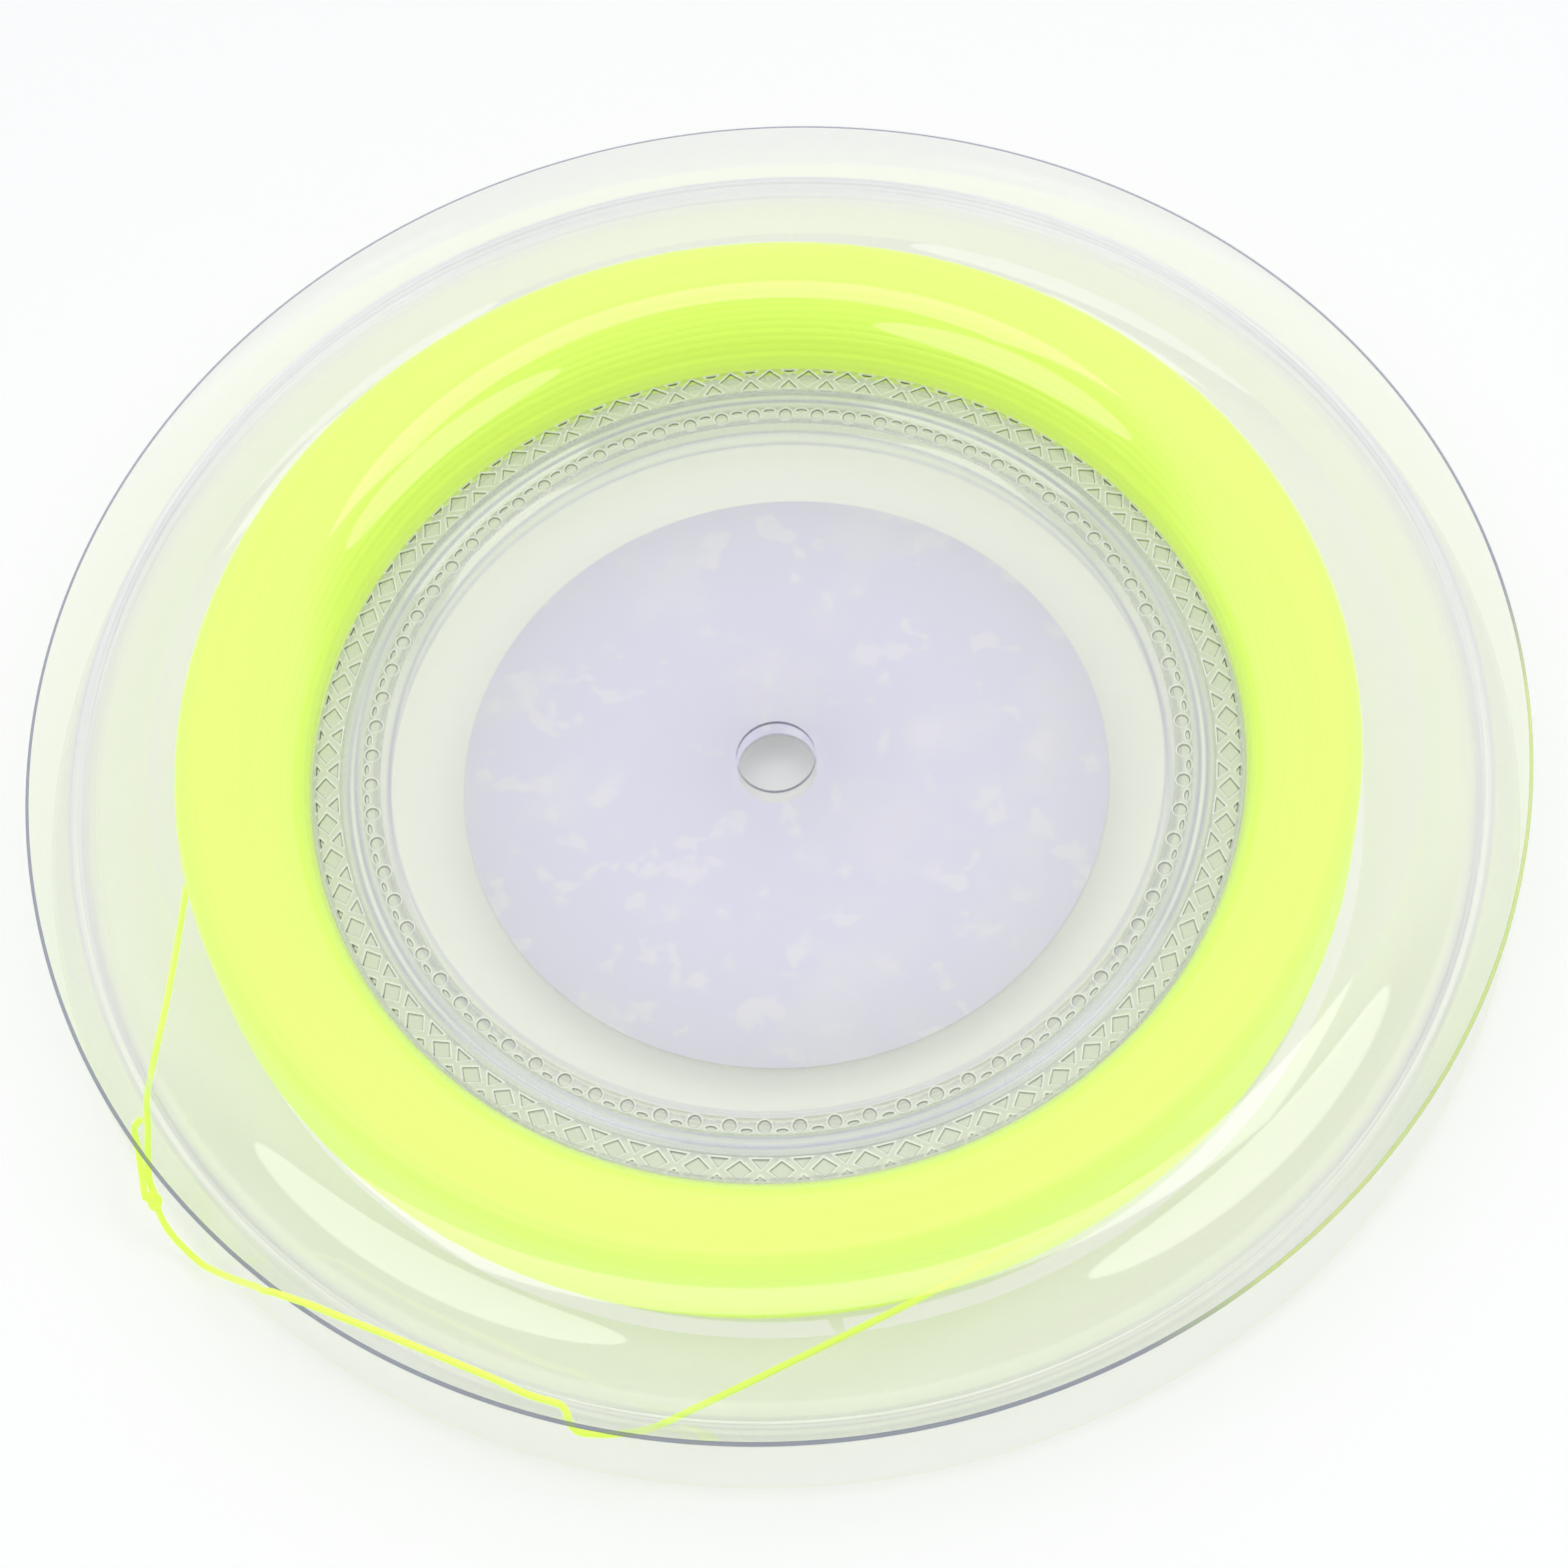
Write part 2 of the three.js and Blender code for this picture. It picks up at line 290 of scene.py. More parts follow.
def makeCutPvc(values, middle, along):
    # trimmed edge of the sheet: a clear bar that carries light along inside it; its dark borders and
    # the string's colour in it are painted into the tint
    material, tree = newMaterial("cutPvcEdge")
    place, _, radius = placeOnReel(tree)
    section = addNode(tree, "ShaderNodeCombineXYZ", {0: radius, 1: heightOf(tree, place)})
    fromMiddle = vectorMath(tree, "SUBTRACT", section.outputs[0],
                            (middle.x * mm, middle.y * mm, 0))
    across = vectorMath(tree, "DOT_PRODUCT", fromMiddle, (-along.y, along.x, 0))
    # painted shade: dark borders along both corners of the cut
    border = ramp(tree, calculate(tree, "ABSOLUTE", across), values["borderFrom"] * mm,
                  reel["sheet"] / 2 * mm, "SMOOTHSTEP")
    # painted light: the string's colour piped along the cut on one side of the rim
    side = vectorMath(tree, "DOT_PRODUCT", place, values["pipedLightSide"])
    pipedLightMask = ramp(tree, side, values["pipedLightFrom"] * mm, values["pipedLightTo"] * mm)
    face = mixColour(tree, pipedLightMask, linear(values["grey"]), linear(values["pipedLight"]))
    kept = calculate(tree, "MULTIPLY_ADD", pipedLightMask, values["pipedLightBorder"] - 1, 1.0)
    border = calculate(tree, "MULTIPLY", border, kept)
    tint = mixColour(tree, border, face, linear(values["border"]))
    clear = addNode(tree, "ShaderNodeBsdfTransparent", {"Color": tint})
    gloss = addNode(tree, "ShaderNodeBsdfPrincipled", {
        "Base Color": tint, "Roughness": values["roughness"],
    })
    surface = mixSurface(tree, values["glossShare"], clear.outputs[0], gloss.outputs[0])
    addNode(tree, "ShaderNodeOutputMaterial", {"Surface": surface})
    return material


stringFinish = {
    "colour": "#daf864",
    "deep": "#ccf04c",
    "roughness": 0.38,
    "ior": 1.55,
    "fluorescenceAndFillGlow": 0.36,  # emission: partly the pigment's real fluorescence, partly painted light that lifts the shaded sides of the windings
    "streak": 2.6,  # mm across the windings from one shade to the next
    "streakTurns": 1.4,  # shades along one turn
    "streakDetail": 3.0,
}


def makeString(values):
    # fluorescent polyester monofilament, extruded and drawn: satin, slightly milky
    material, tree = newMaterial("fluorescentMonofilament")
    place, flat, radius = placeOnReel(tree)
    density = 1 / (values["streak"] * mm)
    around = scaled(tree, vectorMath(tree, "NORMALIZE", flat), values["streakTurns"])
    across = addNode(tree, "ShaderNodeCombineXYZ", {
        2: calculate(tree, "MULTIPLY", radius, density),
    })
    noise = addNode(tree, "ShaderNodeTexNoise", {
        "Vector": vectorMath(tree, "ADD", around, across.outputs[0]),
        "W": calculate(tree, "MULTIPLY", heightOf(tree, place), density),
        "Scale": 1.0, "Detail": values["streakDetail"],
    }, noise_dimensions="4D")
    shade = mixColour(tree, noise.outputs["Fac"], linear(values["colour"]),
                      linear(values["deep"]))
    # the emission is fluorescence and painted light: it shines whatever falls on the string
    face = addNode(tree, "ShaderNodeBsdfPrincipled", {
        "Base Color": shade, "Roughness": values["roughness"], "IOR": values["ior"],
        "Emission Color": linear(values["colour"]), "Emission Strength": values["fluorescenceAndFillGlow"],
    })
    addNode(tree, "ShaderNodeOutputMaterial", {"Surface": face.outputs[0]})
    return material


labelFinish = {
    "colour": "#e1e0f5",
    "mottle": [  # lighter patches: their size in mm, and the noise's values where they come in
        {"colour": "#e5e4f4", "size": 16.0, "detail": 4.0, "mask": (0.52, 0.66)},
        {"colour": "#e9e8f5", "size": 6.0, "detail": 5.0, "mask": (0.58, 0.63)},
    ],
    "roughness": 0.45,
}


def makeLabelCard(values):
    # coated card with a bare, lightly mottled tint
    material, tree = newMaterial("coatedCard")
    place = addNode(tree, "ShaderNodeTexCoord").outputs["Object"]
    tint = linear(values["colour"])
    for patch in values["mottle"]:
        noise = addNode(tree, "ShaderNodeTexNoise", {
            "Vector": place, "Scale": 1 / (patch["size"] * mm), "Detail": patch["detail"],
        })
        share = ramp(tree, noise.outputs["Fac"], *patch["mask"])
        tint = mixColour(tree, share, tint, linear(patch["colour"]))
    face = addNode(tree, "ShaderNodeBsdfPrincipled", {
        "Base Color": tint, "Roughness": values["roughness"],
    })
    addNode(tree, "ShaderNodeOutputMaterial", {"Surface": face.outputs[0]})
    return material


pvc = makeClearPvc(clearPvc)
weld = makeWeldedPvc(weldedPvc)
monofilament = makeString(stringFinish)
card = makeLabelCard(labelFinish)
print("materials made")

# laced end of the string: the route repeats the points of the part's own string, in mm
stringDiameter = 1.25
stringBevelSteps = 4
lacing = {
    "lead": [
        (-112.3, -12.9, 14), (-114.3, -24, 14), (-117.1, -38.1, 14), (-119.2, -47, 14),
        (-120.8, -54.8, 14), (-120.9, -58.4, 14.4), (-120.7, -61.6, 14.9),
        (-120.7, -64.3, 15.2), (-120.8, -67, 15.2), (-120.9, -69.2, 14.8), (-120.9, -71.2, 14),
        (-120.7, -72.8, 12.8),
    ],
    "knot": (-120.6, -74.5, 11.5),
    "loop": [
        (-121.7, -75, 13.7), (-121.8, -73.3, 14.6), (-121.8, -71.4, 15.8),
        (-121.8, -69.5, 17.3), (-121.8, -67.7, 18.9), (-122, -65.8, 20.4),
        (-121.9, -64.6, 21.3), (-121.3, -64.2, 22.2), (-120.4, -63.7, 22.8),
    ],
    "return": [
        (-120.2, -75.9, 10.1), (-119.6, -77.7, 8), (-118.4, -79.6, 5.8), (-116.3, -82, 4),
        (-113.8, -84.6, 3.2), (-111.4, -86.9, 5), (-107.9, -90.6, 10), (-104.2, -94.5, 16),
        (-101.1, -97.9, 21.6), (-99.3, -100.2, 25), (-97.7, -101.2, 26.6),
        (-95.3, -102.5, 26.9), (-91.2, -104.5, 26.8), (-84.4, -108.2, 26.5),
        (-76.1, -112.7, 26.2), (-66.1, -118.2, 25.5), (-60.3, -121.2, 24.2),
        (-55.7, -123.8, 23.2), (-52.3, -125.4, 23), (-50.3, -126.2, 22.9), (-49.2, -127, 22.7),
        (-48.7, -128.2, 22.1), (-48.5, -129.2, 21.6), (-48, -130.3, 21.1),
        (-46.9, -131.1, 20.6), (-44.2, -131.4, 19.5), (-41.7, -131.1, 17.7),
        (-39.3, -130.6, 16.1), (-36.9, -130.1, 14.9), (-34.4, -129.5, 14.3),
        (-28.2, -127.2, 14), (-19.2, -124, 14), (-8.3, -120, 14), (2.7, -115.9, 14),
        (11.4, -112.6, 14),
    ],
    "knotWidth": 1.2, "knotLength": 2.2,
    "knotSpread": 0.5,  # how far its three bights stand out and its middle draws in
    "knotPoints": 96,
    "step": 0.8,  # mm along the smooth route
}


def smoothRoute(points, step):
    # a smooth line through the points, cut into nearly even steps
    pts = [Vector(p) for p in points]
    ends = [pts[0] * 2 - pts[1]] + pts + [pts[-1] * 2 - pts[-2]]
    line = []
    for a, b, c, d in zip(ends, ends[1:], ends[2:], ends[3:]):
        ta = 0.0
        tb = ta + math.sqrt((b - a).length)
        tc = tb + math.sqrt((c - b).length)
        td = tc + math.sqrt((d - c).length)
        count = max(2, round((c - b).length / step))
        for i in range(count):
            t = tb + (tc - tb) * i / count
            ab = a * ((tb - t) / (tb - ta)) + b * ((t - ta) / (tb - ta))
            bc = b * ((tc - t) / (tc - tb)) + c * ((t - tb) / (tc - tb))
            cd = c * ((td - t) / (td - tc)) + d * ((t - tc) / (td - tc))
            abc = ab * ((tc - t) / (tc - ta)) + bc * ((t - ta) / (tc - ta))
            bcd = bc * ((td - t) / (td - tb)) + cd * ((t - tb) / (td - tb))
            line.append(abc * ((tc - t) / (tc - tb)) + bcd * ((t - tb) / (tc - tb)))
    return line + [pts[-1]]


def stringCurve(name, line):
    data = bpy.data.curves.new(name, "CURVE")
    data.dimensions = "3D"
    data.bevel_depth = stringDiameter / 2 * mm
    data.bevel_resolution = stringBevelSteps
    data.use_fill_caps = True
    spline = data.splines.new("POLY")
    spline.points.add(len(line) - 1)
    for point, place in zip(spline.points, line):
        point.co = (*(place * mm), 1)
    data.materials.append(monofilament)
    obj = bpy.data.objects.new(name, data)
    scene.collection.objects.link(obj)
    return obj


def routeLength(line):
    return sum((b - a).length for a, b in zip(line, line[1:]))


def overhandKnot(values):
    # a trefoil drawn tight along the string
    along = (Vector(values["return"][0]) - Vector(values["lead"][-1])).normalized()
    across = along.orthogonal().normalized()
    third = along.cross(across)
    width = values["knotWidth"] / 2
    length = values["knotLength"] / 2
    line = []
    for i in range(values["knotPoints"]):
        t = 2 * math.pi * i / values["knotPoints"]
        spread = 1 + values["knotSpread"] * math.cos(3 * t)
        line.append(Vector(values["knot"]) + across * (width * spread * math.cos(2 * t))
                    + along * (length * spread * math.sin(2 * t))
                    + third * (width * math.sin(3 * t)))
    return line + [line[0]]


freeRoute = smoothRoute(lacing["lead"] + [lacing["knot"]] + lacing["return"], lacing["step"])
lacedString = stringCurve("laced_string", freeRoute)
loopRoute = smoothRoute([lacing["knot"]] + lacing["loop"], lacing["step"])
lacedLoop = stringCurve("laced_loop", loopRoute)
knot = stringCurve("lacing_knot", overhandKnot(lacing))

for piece, node in ((lacedLoop, "string_loop"), (knot, "string_knot")):
    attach(piece, "root")
    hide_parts(node)
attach(lacedString, "root")
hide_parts("string_lead", "string_return")
print(f"laced end of the string: {routeLength(freeRoute):.1f} mm, second leg "
      f"{routeLength(loopRoute):.1f} mm")

# formed sheets: the reel's own sizes, in mm, from the axis outwards and from the weld plane up
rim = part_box("front_shell")[1]
reel = {
    "sheet": 0.8,
    "rimRadius": rim.x / mm,
    "rimHeight": 11.5,
    "crestHeight": 14.0,
    "spindleRadius": 7.5,
    "discRadius": 73.5,
    "frontDiscDrop": 1.4,
    "backTrayDepth": 5.75,
    "discStep": 1.6,
    "innerWeldWidth": 3.2,
    "beadWidth": 4.1,
    "beadTop": 1.6,
    "beadHeight": 1.0,
    "outerWeldWidth": 5.2,
    "channelWidth": 44.2,
    "crestLand": 3.0,
    "slitWidth": 2.0,
    "slitGap": 2.8,
    "segments": 480,
    "arcSteps": 14,
    "fillet": 0.6,
    "filletSteps": 4,
    "filletFrom": 12,  # degrees; a smaller turn belongs to a curve and stays as it is
    "filletShare": 0.45,  # the most of a side that one rounding takes
    "outerBendShade": 0.35,  # how much of the painted bend shade shows outside the crest
}
weldPlane = reel["crestHeight"]
innerWeldStart = reel["discRadius"] + reel["discStep"]
beadStart = innerWeldStart + reel["innerWeldWidth"]
outerWeldStart = beadStart + reel["beadWidth"]
channelStart = outerWeldStart + reel["outerWeldWidth"]
slitStart = channelStart + reel["channelWidth"]
slitEnd = slitStart + reel["slitWidth"]
crestRadius = channelStart + reel["channelWidth"] / 2


def quarterArc(start, end, steps, risesFirst):
    line = []
    for i in range(steps + 1):
        angle = i / steps * math.pi / 2
        across, up = math.sin(angle), 1 - math.cos(angle)
        if risesFirst:
            across, up = up, across
        line.append(Vector((start[0] + (end[0] - start[0]) * across,
                            start[1] + (end[1] - start[1]) * up)))
    return line


def filleted(points, values):
    # rounds each corner that turns more than a little; also gives each point its share of painted
    # bend shade
    line, bendShades = [points[0]], [0.0]
    steps = values["filletSteps"]
    for a, b, c in zip(points, points[1:], points[2:]):
        if (b - a).angle(c - b) < math.radians(values["filletFrom"]):
            line.append(b)
            bendShades.append(0.0)
            continue
        side = min((b - a).length, (c - b).length)
        reach = min(values["fillet"], side * values["filletShare"])
        before = b + (a - b).normalized() * reach
        after = b + (c - b).normalized() * reach
        shown = 1.0 if b.x < crestRadius else values["outerBendShade"]
        for i in range(steps + 1):
            t = i / steps
            line.append(before.lerp(b, t).lerp(b.lerp(after, t), t))
            bendShades.append(math.sin(math.pi * t) ** 2 * shown)
    return line + [points[-1]], bendShades + [0.0]


def offsetLine(points, distance):
    normals = []
    for a, b in zip(points, points[1:]):
        along = (b - a).normalized()
        normals.append(Vector((-along.y, along.x)))
    moved = []
    for i, point in enumerate(points):
        before = normals[max(i - 1, 0)]
        after = normals[min(i, len(normals) - 1)]
        moved.append(point + (before + after) * (distance / (1 + before.dot(after))))
    return moved


def channelMiddle():
    foot = reel["sheet"] / 2
    top = reel["crestHeight"] - foot
    slit = (reel["slitGap"] + reel["sheet"]) / 2
    inner = crestRadius - reel["crestLand"] / 2
    outer = crestRadius + reel["crestLand"] / 2
    rising = quarterArc((channelStart, foot), (inner, top), reel["arcSteps"], True)
    falling = quarterArc((outer, top), (slitStart, slit), reel["arcSteps"], False)
    return rising + falling


def lipCorner():
    return Vector((slitEnd, (reel["slitGap"] + reel["sheet"]) / 2))


def lipEnd():
    along = (Vector((reel["rimRadius"], reel["rimHeight"])) - lipCorner()).normalized()
    half = reel["sheet"] / 2
    return Vector((reel["rimRadius"] - along.y * half, reel["rimHeight"] - along.x * half))


def sheetLines(discHeight, widening):
    # middle lines of one half's sheet: its disc, the bead, and the channel with its lip
    level = reel["sheet"] / 2
    slope = (reel["beadWidth"] - reel["beadTop"]) / 2
    top = level + reel["beadHeight"]
    disc = [
        Vector((reel["spindleRadius"], discHeight)),
        Vector((reel["discRadius"] + widening, discHeight)),
        Vector((innerWeldStart + widening, level)),
    ]
    bead = [
        Vector((beadStart, level)),
        Vector((beadStart + slope, top)),
        Vector((outerWeldStart - slope, top)),
        Vector((outerWeldStart, level)),
    ]
    return disc, bead, [*channelMiddle(), lipCorner(), lipEnd()]


def revolve(outline, segments):
    # outline is closed; points run radius, height
    count = len(outline)
    angles = np.arange(segments) * 2 * math.pi / segments
    radius = np.array([p[0] for p in outline])
    height = np.array([p[1] for p in outline])
    points = np.stack([
        np.outer(np.cos(angles), radius), np.outer(np.sin(angles), radius),
        np.tile(height, (segments, 1)),
    ], -1).reshape(-1, 3)
    faces = []
    for i in range(segments):
        for j in range(count):
            a = i * count + j
            b = i * count + (j + 1) % count
            c = (i + 1) % segments * count + (j + 1) % count
            d = (i + 1) % segments * count + j
            faces.append((a, d, c, b))
    return points, faces


def sheetShell(name, lines, facesUp):
    turn = 1 if facesUp else -1
    allPoints, allFaces, allBendShades, cutFaces = [], [], [], []
    for line in lines:
        middle, bendShades = filleted(line, reel)
        outside = offsetLine(middle, reel["sheet"] / 2)
        inside = offsetLine(middle, -reel["sheet"] / 2)
        outline = [(p.x * mm, (weldPlane + turn * p.y) * mm) for p in inside[::-1] + outside]
        bendShades = bendShades[::-1] + bendShades
        if facesUp:
            outline.reverse()
            bendShades.reverse()
        points, faces = revolve(outline, reel["segments"])
        ends = []
        if facesUp and line is lines[-1]:
            ends.append(len(outline) - 1)  # the trimmed rim
        if facesUp and line is lines[0]:
            ends.append(len(middle) - 1)  # the spindle hole
        for end in ends:
            cutFaces += range(len(allFaces) + end, len(allFaces) + len(faces), len(outline))
        first = len(allPoints)
        allPoints += points.tolist()
        allBendShades += bendShades * reel["segments"]
        allFaces += [tuple(first + k for k in face) for face in faces]
    obj = meshFrom(name, allPoints, allFaces, pvc)
    bendShade = obj.data.attributes.new("bendShade", "FLOAT", "POINT")
    bendShade.data.foreach_set("value", allBendShades)
    obj.data.materials.append(cutEdge)
    for k in cutFaces:
        obj.data.polygons[k].material_index = 1
    return obj


cutEdge = makeCutPvc(cutPvc, lipEnd() + Vector((0, weldPlane)),
                     (lipEnd() - lipCorner()).normalized())
lacingHoles = {"radius": 1.6, "inset": 4.0, "angles": (207.9, 249.3), "sides": 40, "reach": 3.0}


def punchLip(sheet, values):
    # the holes that the free end is laced through, square to the lip
    along = (lipEnd() - lipCorner()).normalized()
    centre = lipEnd() - along * values["inset"]
    cutter = bmesh.new()
    for degrees in values["angles"]:
        place = (Matrix.Rotation(math.radians(degrees), 4, "Z")
                 @ Matrix.Translation((centre.x * mm, 0, (weldPlane + centre.y) * mm))
                 @ Matrix.Rotation(math.atan2(along.y, along.x), 4, Vector((0, -1, 0))))
        bmesh.ops.create_cone(cutter, cap_ends=True, segments=values["sides"],
                              radius1=values["radius"] * mm, radius2=values["radius"] * mm,
                              depth=values["reach"] * mm, matrix=place)
    mesh = bpy.data.meshes.new("lacingPunch")
    cutter.to_mesh(mesh)
    cutter.free()
    mesh.materials.append(pvc)
    punch = bpy.data.objects.new("lacingPunch", mesh)
    scene.collection.objects.link(punch)
    modifier = sheet.modifiers.new("lacing", "BOOLEAN")
    modifier.operation = "DIFFERENCE"
    modifier.object = punch
    modifier.material_mode = "TRANSFER"
    finished = settled(sheet, "front_sheet")
    bpy.data.objects.remove(punch)
    return finished


disc, bead, channel = sheetLines(reel["sheet"] / 2 - reel["frontDiscDrop"], 0)
frontSheet = punchLip(sheetShell("formedFront", [disc, bead, channel], True), lacingHoles)
disc, bead, channel = sheetLines(reel["backTrayDepth"] + reel["sheet"] / 2, reel["sheet"])
backSheet = sheetShell("back_sheet", [disc + bead + channel], False)
for piece, node in ((frontSheet, "front_shell"), (backSheet, "back_shell")):
    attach(piece, "root")
    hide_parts(node)
print("formed sheets made")

# weld rings, with the marks of the welding tool
welds = {
    "depth": 0.35,  # mm that the tool's marks sink in
    "wall": 0.16,  # mm that a mark's side slopes over
    "shoulder": 0.24, "shoulderDepth": 0.12,  # the rounded edge of a mark
    "seam": 0.02,  # mm left free beside the sheets
    "edgeSteps": 5,
    "sameSpot": 1e-5,  # mm within which two points of a repeat are one
    "joinDistance": 0.01,  # mm within which one repeat is joined to the next
    "sharpAngle": 40,
}
diamonds = {
    "count": 70, "first": 2.57,  # degrees
    "from": outerWeldStart, "to": channelStart, "middle": 85.3,
    "wide": 4.7, "deep": 3.9,
    "inward": {"wide": 3.6, "base": -2.3, "tip": -0.3},  # triangles between, mm from the middle
    "outward": {"wide": 2.4, "base": 1.9, "tip": 1.0},
    "side": [(-1.1, 0), (-3.25, 0.55), (-1.2, 1)],  # how one repeat meets the next
}
rounds = {
    "count": 76, "first": 2.1,
    "from": innerWeldStart, "to": beadStart, "middle": 76.7,
    "wide": 2.6, "sides": 24,
    "drop": {"wide": 2.2, "deep": 0.9, "out": 0.85},
    "side": [(-1.75, 0), (-1.75, 0.5), (-1.75, 1)],
}


def insetLoop(points, distance):
    # a closed loop drawn smaller by a distance on each side
    loop = []
    for a, b, c in zip(points[-1:] + points[:-1], points, points[1:] + points[:1]):
        before = (b - a).normalized()
        after = (c - b).normalized()
        normals = Vector((-before.y, before.x)), Vector((-after.y, after.x))
        loop.append(b + (normals[0] + normals[1]) * (distance / (1 + normals[0].dot(normals[1]))))
    return loop


def pad(points, values):
    # flat-bottomed mark with a rounded edge and steep sides; the points run anticlockwise
    points = [Vector(p) for p in points]
    return [
        (insetLoop(points, -values["shoulder"]), 0.0),
        (points, -values["shoulderDepth"]),
        (insetLoop(points, values["wall"]), -values["depth"]),
    ]


def oval(centre, wide, deep, sides):
    return [(centre[0] + wide / 2 * math.cos(2 * math.pi * i / sides),
             centre[1] + deep / 2 * math.sin(2 * math.pi * i / sides)) for i in range(sides)]


def weldCell(name, ring, loops, values):
    # one repeat of a weld ring, drawn flat and then bent to the ring: u along it, v outwards
    low = ring["from"] + values["seam"] - ring["middle"]
    high = ring["to"] - values["seam"] - ring["middle"]
    pitch = 2 * math.pi * ring["middle"] / ring["count"]
    left = [Vector((u, low + (high - low) * share)) for u, share in ring["side"]]
    steps = values["edgeSteps"]
    outer = [left[-1] + Vector((pitch * i / steps, 0)) for i in range(steps + 1)]
    inner = [left[0] + Vector((pitch * i / steps, 0)) for i in range(steps + 1)]
    border = inner + [left[1] + Vector((pitch, 0))] + outer[::-1] + [left[1]]
    flat, heights, edges = [], [], []
    for loop, height in [(border, 0.0)] + loops:
        first = len(flat)
        flat += loop
        heights += [height] * len(loop)
        edges += [(first + i, first + (i + 1) % len(loop)) for i in range(len(loop))]
    places, _, triangles, origins, _, _ = delaunay_2d_cdt(flat, edges, [], 1, values["sameSpot"])
    top = weldPlane + reel["sheet"]
    bottom = weldPlane + values["seam"]

    def bent(place, height):
        angle = place.x / ring["middle"]
        radius = ring["middle"] + place.y
        return (-radius * math.sin(angle) * mm, radius * math.cos(angle) * mm, height * mm)

    points = [bent(place, top + heights[origin[0]]) for place, origin in zip(places, origins)]
    faces = [tuple(reversed(t)) for t in triangles]
    first = len(points)
    count = len(border)
    points += [bent(place, top) for place in border] + [bent(place, bottom) for place in border]
    faces.append(tuple(first + count + i for i in range(count)))
    for i in [*range(steps), *range(steps + 2, 2 * steps + 2)]:
        n = (i + 1) % count
        faces.append((first + n, first + i, first + count + i, first + count + n))
    return meshFrom(name, points, faces, weld)


def ringTree(material):
    tree = newGroup("weldRing", {"Int": ("Count",), "Float": ("First Angle", "Join Distance")})
    given = addNode(tree, "NodeGroupInput").outputs
    points = addNode(tree, "GeometryNodePoints", {"Count": given["Count"]})
    index = addNode(tree, "GeometryNodeInputIndex").outputs[0]
    share = calculate(tree, "DIVIDE", index, given["Count"])
    angle = calculate(tree, "MULTIPLY_ADD", share, 2 * math.pi, given["First Angle"])
    turn = addNode(tree, "FunctionNodeAxisAngleToRotation", {"Axis": (0, 0, 1), "Angle": angle})
    placed = addNode(tree, "GeometryNodeInstanceOnPoints", {
        "Points": points.outputs[0], "Instance": given["Geometry"], "Rotation": turn.outputs[0],
    })
    real = addNode(tree, "GeometryNodeRealizeInstances", {0: placed.outputs[0]})
    joined = addNode(tree, "GeometryNodeMergeByDistance", {
        "Geometry": real.outputs[0], "Distance": given["Join Distance"],
    })
    finished = addNode(tree, "GeometryNodeSetMaterial", {
        "Geometry": joined.outputs[0], "Material": material,
    })
    addNode(tree, "NodeGroupOutput", {0: finished.outputs[0]})
    return tree


weldTree = ringTree(weld)


def weldRing(name, ring, loops):
    cell = weldCell(name + "_cell", ring, loops, welds)
    modifier = cell.modifiers.new("ring", "NODES")
    modifier.node_group = weldTree
    setInputs(modifier, {
        "Count": ring["count"], "First Angle": math.radians(ring["first"] - 90),
        "Join Distance": welds["joinDistance"] * mm,
    })
    result = settled(cell, name)
    result.data.set_sharp_from_angle(angle=math.radians(welds["sharpAngle"]))
    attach(result, "root")
    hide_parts("front_shell")
    print(f"{name}: {len(result.data.polygons)} faces")


half = math.pi * diamonds["middle"] / diamonds["count"]
weldRing("outer_weld", diamonds, [
    *pad([(0, -diamonds["deep"] / 2), (diamonds["wide"] / 2, 0), (0, diamonds["deep"] / 2),
          (-diamonds["wide"] / 2, 0)], welds),
    *pad([(half - diamonds["inward"]["wide"] / 2, diamonds["inward"]["base"]),
          (half + diamonds["inward"]["wide"] / 2, diamonds["inward"]["base"]),
          (half, diamonds["inward"]["tip"])], welds),
    *pad([(half, diamonds["outward"]["tip"]),
          (half + diamonds["outward"]["wide"] / 2, diamonds["outward"]["base"]),
          (half - diamonds["outward"]["wide"] / 2, diamonds["outward"]["base"])], welds),
])
half = math.pi * rounds["middle"] / rounds["count"]
drop = rounds["drop"]
weldRing("inner_weld", rounds, [
    *pad(oval((0, 0), rounds["wide"], rounds["wide"], rounds["sides"]), welds),
    *pad(oval((half, drop["out"]), drop["wide"], drop["deep"], rounds["sides"]), welds),
])

label = {
    "radius": 61.3, "thickness": 0.47, "shift": (1.4, -1.4), "segments": 256,
    "edge": 0.12,  # mm that the cut edges are bevelled
    "lift": 0.03,  # mm clear of the tray, so that the two faces don't lie in one plane
    "sharpAngle": 60,
}


def makeLabel(values):
    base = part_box("label_disc")[0].z / mm + values["lift"]
    count = values["segments"]
    angles = [2 * math.pi * i / count for i in range(count)]
    edge, thickness = values["edge"], values["thickness"]
    rings = [(edge, 0), (0, edge), (0, thickness - edge), (edge, thickness)]
    points = []
    for inset, height in rings:
        for radius, shift in ((values["radius"] - inset, values["shift"]),
                              (reel["spindleRadius"] + inset, (0, 0))):
            points += [((radius * math.cos(a) + shift[0]) * mm,
                        (radius * math.sin(a) + shift[1]) * mm, (base + height) * mm)
                       for a in angles]
    faces = []
    last = len(rings) - 1
    top = last * 2 * count
    for k in range(count):
        n = (k + 1) % count
        faces.append((k, count + k, count + n, n))  # underside
        faces.append((top + k, top + n, top + count + n, top + count + k))
        for r in range(last):
            low, high = r * 2 * count, (r + 1) * 2 * count
            faces.append((low + k, low + n, high + n, high + k))
            faces.append((low + count + n, low + count + k, high + count + k, high + count + n))
    return meshFrom("label_card", points, faces, card, values["sharpAngle"])


labelCard = makeLabel(label)
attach(labelCard, "root")
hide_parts("label_disc")
print("label made")

